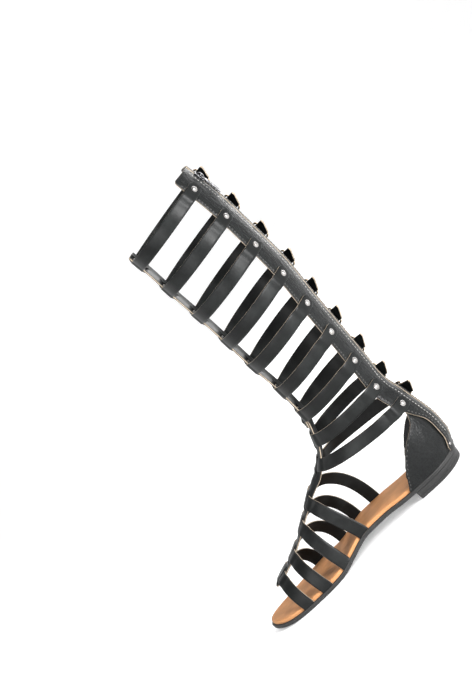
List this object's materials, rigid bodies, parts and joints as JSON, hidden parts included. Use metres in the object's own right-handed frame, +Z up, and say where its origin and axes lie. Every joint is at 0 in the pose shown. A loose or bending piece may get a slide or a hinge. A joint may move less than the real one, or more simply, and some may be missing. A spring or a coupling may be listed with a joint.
{
  "type": "gladiator sandal",
  "caption": "Flat knee-high gladiator sandal for the right foot, with strap ladders woven through a front strip, rivets, side buckles and a back zip.",
  "frame": {"origin": "middle of the flat bottom of the heel block, on the floor", "axes": "+Z up the shaft, +Y to the toe, +X to the outer (lateral) side of the right foot"},
  "size_m": [0.0997, 0.2771, 0.3731],
  "materials": {
    "sole": "matt black, slightly worn at the ground",
    "footbed": "smooth tan footbed leather with a paler cut edge",
    "smooth_leather": "smooth black strap leather, satin, with pale cut edges",
    "grain_leather": "pebble-grained black leather, stitched",
    "zip_tape": "black woven zip tape with black teeth",
    "dark_metal": "black nickel, polished",
    "steel": "polished nickel",
    "pale_gold": "polished pale champagne gold"
  },
  "bodies": {
    "shoe": {"outsole": "sole", "heel_block": "sole", "insole": "footbed", "shaft_straps": "smooth_leather", "instep_straps": "smooth_leather", "back_strip_medial": "grain_leather", "back_strip_lateral": "grain_leather", "counter_medial": "grain_leather", "counter_lateral": "grain_leather", "zip_chain": "zip_tape", "zip_slider": "dark_metal", "seam_stud_medial": "steel", "seam_stud_lateral": "steel", "joint_stud_medial": "steel", "joint_stud_lateral": "steel", "rivet_1": "steel", "rivet_2": "steel", "rivet_3": "steel", "rivet_4": "steel", "rivet_5": "steel", "rivet_6": "steel", "rivet_7": "steel", "rivet_8": "steel", "rivet_9": "steel", "buckle_1": "pale_gold", "buckle_2": "pale_gold", "buckle_3": "pale_gold", "buckle_4": "pale_gold", "buckle_5": "pale_gold", "buckle_6": "pale_gold", "buckle_7": "pale_gold", "buckle_8": "pale_gold", "buckle_9": "pale_gold", "buckle_tab_1": "grain_leather", "buckle_tab_2": "grain_leather", "buckle_tab_3": "grain_leather", "buckle_tab_4": "grain_leather", "buckle_tab_5": "grain_leather", "buckle_tab_6": "grain_leather", "buckle_tab_7": "grain_leather", "buckle_tab_8": "grain_leather", "buckle_tab_9": "grain_leather"},
    "zip_pull": {"zip_pull": "dark_metal"}
  },
  "joints": [
    {"name": "zip_pull_hinge", "type": "hinge", "parent": "shoe", "child": "zip_pull", "pos_m": [0, -0.04673, 0.35835], "axis": [-1, 0, 0], "range_deg": [0, 150]}
  ]
}
